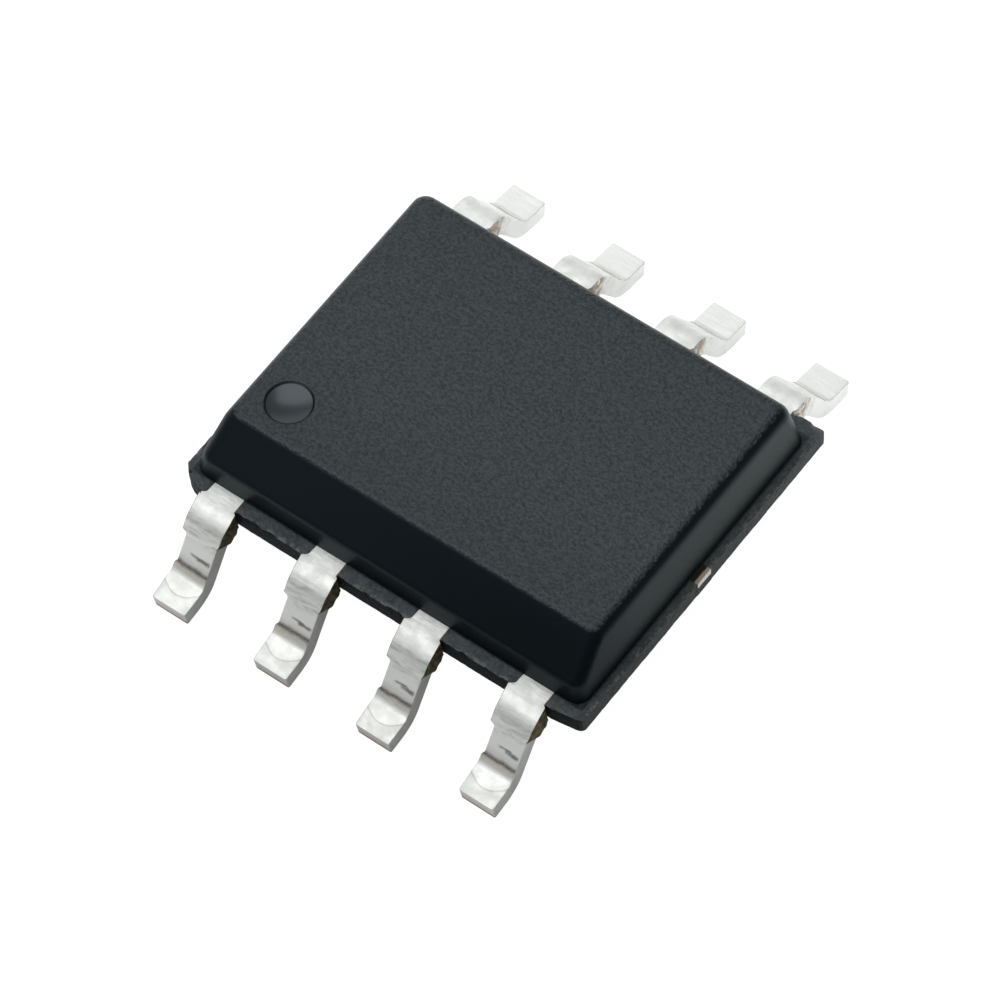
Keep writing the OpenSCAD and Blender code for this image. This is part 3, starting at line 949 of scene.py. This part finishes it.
def tin_look():
    """Matte tin plating with the marks of forming, bare brown metal at the cut dam bar, and painted
    light: a highlight on the shanks and back feet, and shade on the front leads' sides and shoulders.
    """
    look = Look("tin", metallic=1.0)
    along, across, cut = (look.attribute(name) for name in ("along", "across", "cut"))
    _, y, z = look.split(look.mm)
    steep = look.facing(2)
    upward = look.ramp(steep, 0.25, 0.45)
    in_front = look.fall(y, -0.1, 0.1)
    mottle = look.noise(7, 4, 0.6, seed=11)
    grain = look.noise(45, 3, 0.6, seed=12)
    colour = look.mix(look.ramp(mottle, 0.35, 0.7), TIN_DARK, TIN_LIGHT)
    # Painted shade: the sides of the front leads are darkened
    side_shade = look.ramp(look.turned_to(0), 0.6, 0.85)
    colour = look.mix(look.times(side_shade, in_front, 0.5), colour, TIN_SIDE_SHADE)
    # Painted highlight: the upward faces of the shanks and lower bends, and the back leads from their
    # shanks on, are lightened
    shank = look.times(look.window(along, (0.20, 0.36), (LOWER_BEND_S, FOOT_S)), upward)
    back_foot = look.times(look.ramp(y, -0.1, 0.1), look.ramp(along, 0.3, 0.5))
    bright = look.math("MAXIMUM", shank, back_foot)
    colour = look.mix(look.times(bright, 0.8), colour, TIN_PAINTED_HIGHLIGHT)
    # Painted shade: the front leads are darkened up to their upper bend
    painted_shoulder_shade = look.times(look.ramp(along, 0.12, 0.24, 0.06, 0.0), in_front)
    colour = look.mix(painted_shoulder_shade, colour, BLACK)
    wide = look.shifted(along, look.noise(14, 4, 0.65, seed=14), 0.14)
    burnished = look.window(wide, (0.16, 0.21), (0.34, 0.46))
    rubbed = look.noise(1, 4, 0.6, seed=18, stretch=(5.0, 24.0, 24.0))
    worn = look.times(burnished, look.ramp(rubbed, 0.42, 0.68), 0.55)
    colour = look.mix(worn, colour, TIN_WORN)
    colour = forming_marks(look, colour, along, across, grain, upward)
    colour = foot_arc(look, colour, along, across, look.times(upward, in_front))
    toe = look.times(look.ramp(along, TIP_S - 0.006, TIP_S - 0.001),
                     look.fall(look.math("ABSOLUTE", steep), 0.3, 0.6))
    colour = look.mix(toe, colour, look.mix(look.ramp(z, 0.02, 0.07), TOE_COPPER, TOE_TIN))
    rust = look.noise(20, 3, 0.6, seed=15)
    # The back row's bare brown metal is painted lighter against the shade under its shoulder
    lit_back_brown = look.mix(rust, CUT_BACK_LIT_DARK, CUT_BACK_LIT_LIGHT)
    front_brown = look.mix(look.ramp(rust, 0.35, 0.65), CUT_FRONT_DARK, CUT_FRONT_LIGHT)
    cut = look.times(cut, look.math("MAXIMUM", in_front, look.ramp(rust, 0.38, 0.58)))
    look.set("Base Color", look.mix(cut, colour, look.mix(in_front, lit_back_brown, front_brown)))
    rough = look.mix_value(burnished, look.ramp(mottle, 0.3, 0.7, 0.68, 0.58), 0.52)
    look.set("Roughness", look.mix_value(cut, rough, 0.75))
    lines = look.noise(1, 3, 0.6, seed=13, stretch=(2.0, 40.0, 40.0))
    rolls = look.noise(1, 3, 0.55, seed=17, stretch=(3.5, 13.0, 13.0))
    height = look.math("ADD", look.times(lines, 0.25), rolls)
    look.set("Normal", look.bump(look.math("ADD", look.times(grain, 0.25), height), 0.007))
    return look.material


def forming_marks(look, colour, along, across, grain, upward):
    """Adds painted shade and the dark line above the lower bend, the blush below the line and the
    scratches on the shank.
    """
    line_s = FORMING_LINE_S
    place = look.shifted(along, look.noise(7, 2, 0.5, seed=19), 0.06)
    # Painted shade on the upward faces just before the forming line
    shade = look.window(place, (line_s - 0.13, line_s), (line_s, line_s + 0.02))
    colour = look.mix(look.times(shade, upward, 0.22), colour, SHADE_COLOUR)
    line = look.times(look.band(place, line_s, 0.048), look.ramp(grain, 0.3, 0.6, 0.75, 1.0))
    colour = look.mix(look.times(line, upward, 0.85), colour, LINE_COLOUR)
    blush = look.window(place, (line_s + 0.01, line_s + 0.03), (line_s + 0.05, line_s + 0.11))
    blush = look.times(blush, look.ramp(grain, 0.35, 0.6, 0.5, 1.0), upward, 0.5)
    colour = look.mix(blush, colour, BLUSH_COLOUR)
    broken = look.ramp(look.noise(24, 2, 0.6, seed=16), 0.25, 0.5, 0.4, 1.0)
    for shift, half_width, left, right, darkness in SCRATCHES:
        run = look.window(across, (left, left + 0.05), (right, right + 0.04))
        scratch = look.times(look.band(place, DASH_S + shift, half_width), run, broken)
        colour = look.mix(look.times(scratch, upward, darkness), colour, SCRATCH_COLOUR)
    return colour


def foot_arc(look, colour, along, across, front_top):
    """Adds the arc that the forming tool leaves on a front foot, and the faint shade beyond it."""
    on_foot = look.times(look.ramp(along, FOOT_S, FOOT_S + 0.03), front_top)
    away = look.distance(across, along, ARC_CENTRE)
    beyond = look.times(look.ramp(away, ARC_R - 0.01, ARC_R + 0.01), on_foot, 0.08)
    colour = look.mix(beyond, colour, BLACK)
    return look.mix(look.times(look.band(away, ARC_R, 0.014), on_foot, 0.45), colour, ARC_COLOUR)


def paddle_look():
    """Copper lead frame: painted shade on the tie bars in the ledge's slots, bare brown metal near
    their ends, with a bright sheared strip on their cuts.
    """
    look = Look("copper", metallic=1.0)
    x, _, z = look.split(look.mm)
    streaks = look.noise(1, 3, 0.6, seed=21, stretch=(3.0, 30.0, 30.0))
    torn = look.noise(16, 3, 0.6, seed=22)
    out = look.math("ABSOLUTE", x)
    # Painted shade on the tie bar where it lies in the ledge's slot
    slot_shade = look.ramp(out, SIDE_X - 0.06, SIDE_X - 0.02)
    at_cut = look.ramp(out, LEDGE_X - 0.004, LEDGE_X - 0.001)
    torn_z = look.math("ADD", z, look.times(torn, 0.04))
    torn_out = look.math("ADD", out, look.times(torn, 0.03))
    colour = look.mix(streaks, COPPER_DARK, COPPER_LIGHT)
    colour = look.mix(slot_shade, colour, TIE_SLOT_SHADE)
    colour = look.mix(look.ramp(torn_out, LEDGE_X - 0.04, LEDGE_X - 0.02), colour, TIE_BARE)
    high = look.ramp(torn_z, FRAME_TOP - 0.06, FRAME_TOP - 0.045)
    look.set("Base Color", look.mix(at_cut, colour, look.mix(high, SHEAR_DARK, SHEAR_BRIGHT)))
    look.set("Roughness", look.ramp(torn, 0.2, 0.8, 0.4, 0.6))
    look.set("Normal", look.bump(streaks, 0.003))
    return look.material


def gold_look():
    """Drawn gold wire with a faint grain."""
    look = Look("gold", metallic=1.0)
    streaks = look.noise(1, 3, 0.6, seed=21, stretch=(3.0, 30.0, 30.0))
    look.set("Base Color", look.mix(streaks, GOLD_DARK, GOLD_LIGHT))
    look.set("Roughness", look.ramp(streaks, 0.2, 0.8, 0.2, 0.32))
    look.set("Normal", look.bump(streaks, 0.001))
    return look.material


def silicon_look():
    """Polished silicon with the faint blocks of its circuits."""
    look = Look("silicon", metallic=0.6)
    blocks = look.cells(9)
    look.set("Base Color", look.mix(look.ramp(blocks, 0.1, 0.6), SILICON_DARK, SILICON_LIGHT))
    look.set("Roughness", look.ramp(blocks, 0.0, 0.7, 0.18, 0.3))
    return look.material


def adhesive_look():
    """Silver-filled adhesive."""
    look = Look("adhesive", metallic=0.3)
    flakes = look.noise(40, 3, 0.6, seed=31)
    look.set("Base Color", look.mix(look.ramp(flakes, 0.4, 0.65), ADHESIVE_DARK, ADHESIVE_LIGHT))
    look.set("Roughness", look.ramp(flakes, 0.3, 0.7, 0.7, 0.45))
    look.set("Normal", look.bump(flakes, 0.004))
    return look.material


def dress_cad_nodes(looks):
    """Gives the CAD nodes that stay in the scene their materials."""
    for name, node in frame["nodes"].items():
        kind = "bond_wire" if name.startswith("bond_wire") else name
        if kind in looks:
            node.data.materials.clear()
            node.data.materials.append(looks[kind])


# The stage


def make_floor():
    """A pale floor, white to the camera, that keeps a soft shadow and shows in the metal, its glow in
    mirrored rays dimmed near the object as a painted shadow.
    """
    bm = bmesh.new()
    bmesh.ops.create_grid(bm, x_segments=2, y_segments=2, size=1.0)
    floor = helper_object(bm, "floor")
    material = bpy.data.materials.new("floor")
    material.use_nodes = True
    material.cycles.emission_sampling = "NONE"
    nodes, links = material.node_tree.nodes, material.node_tree.links
    nodes.clear()
    rays = nodes.new("ShaderNodeLightPath").outputs

    def value(operation, a, b):
        n = nodes.new("ShaderNodeMath")
        n.operation = operation
        for socket, given in zip(n.inputs, (a, b)):
            if isinstance(given, bpy.types.NodeSocket):
                links.new(given, socket)
            else:
                socket.default_value = given
        return n.outputs[0]

    # The glow in mirrored rays rises with distance from a point before the object: a painted shadow in
    # the floor's reflections
    away = nodes.new("ShaderNodeVectorMath")
    away.operation = "DISTANCE"
    links.new(nodes.new("ShaderNodeTexCoord").outputs["Object"], away.inputs[0])
    away.inputs[1].default_value = PAINTED_SHADOW_CENTRE * MM
    painted_shadow_fade = nodes.new("ShaderNodeMapRange")
    links.new(away.outputs["Value"], painted_shadow_fade.inputs[0])
    reach = (FLOOR_NEAR * MM, FLOOR_FAR * MM, FLOOR_GLOW_NEAR, FLOOR_GLOW_FAR)
    for socket, number in zip(painted_shadow_fade.inputs[1:5], reach):
        socket.default_value = number
    mirrored = value("MAXIMUM", rays["Is Glossy Ray"], rays["Is Transmission Ray"])
    level = value("ADD", value("MULTIPLY", rays["Is Camera Ray"], FLOOR_GLOW_SEEN),
                  value("MULTIPLY", mirrored, painted_shadow_fade.outputs[0]))
    glow = nodes.new("ShaderNodeEmission")
    links.new(level, glow.inputs["Strength"])
    pale = nodes.new("ShaderNodeBsdfDiffuse")
    pale.inputs["Color"].default_value = FLOOR_COLOUR
    faint = nodes.new("ShaderNodeBsdfDiffuse")
    faint.inputs["Color"].default_value = FLOOR_SHADOW_COLOUR
    lit = nodes.new("ShaderNodeMixShader")
    links.new(rays["Is Camera Ray"], lit.inputs[0])
    links.new(pale.outputs[0], lit.inputs[1])
    links.new(faint.outputs[0], lit.inputs[2])
    both = nodes.new("ShaderNodeAddShader")
    links.new(lit.outputs[0], both.inputs[0])
    links.new(glow.outputs[0], both.inputs[1])
    output = nodes.new("ShaderNodeOutputMaterial")
    links.new(both.outputs[0], output.inputs[0])
    floor.data.materials.append(material)


def make_light(name, way, size, power):
    """A soft square lamp that faces the object from a direction. Its size is in millimetres."""
    data = bpy.data.lights.new(name, "AREA")
    data.size = size * MM
    data.energy = power
    lamp = bpy.data.objects.new(name, data)
    way = Vector(way).normalized()
    lamp.location = way * LAMP_DISTANCE * MM
    lamp.rotation_euler = way.to_track_quat("Z", "Y").to_euler()
    lamp.visible_camera = False
    bpy.context.scene.collection.objects.link(lamp)


def make_world(level):
    """An even white room."""
    world = bpy.data.worlds.new("room")
    bpy.context.scene.world = world
    world.use_nodes = True
    background = world.node_tree.nodes["Background"]
    background.inputs["Color"].default_value = (1, 1, 1, 1)
    background.inputs["Strength"].default_value = level


def make_camera():
    """The camera at the photograph's place."""
    a, e = CAM_AZIMUTH, CAM_ELEVATION
    back = Vector((math.sin(a) * math.cos(e), -math.cos(a) * math.cos(e), math.sin(e)))
    right = Vector((math.cos(a), math.sin(a), 0))
    up = back.cross(right)
    c, s = math.cos(CAM_ROLL), math.sin(CAM_ROLL)
    right, up = c * right + s * up, -s * right + c * up
    data = bpy.data.cameras.new("camera")
    data.lens = CAM_LENS
    data.sensor_width = CAM_SENSOR
    data.clip_start, data.clip_end = CAM_CLIP
    camera = bpy.data.objects.new("camera", data)
    turn = Matrix((right, up, back)).transposed().to_4x4()
    eye = CAM_ASIDE[0] * right + CAM_ASIDE[1] * up + CAM_DISTANCE * back
    camera.matrix_world = Matrix.Translation(eye * MM) @ turn
    bpy.context.scene.collection.objects.link(camera)
    bpy.context.scene.camera = camera


bpy.context.scene.view_settings.view_transform = "Standard"
make_camera()
make_floor()
for lamp_name, lamp_way, lamp_size, lamp_power in LAMPS:
    make_light(lamp_name, lamp_way, lamp_size, lamp_power)
make_world(ROOM_LEVEL)

make_body(resin_look())
make_leads(tin_look())
dress_cad_nodes({"die_paddle": paddle_look(), "die": silicon_look(),
                 "die_attach": adhesive_look(), "bond_wire": gold_look()})
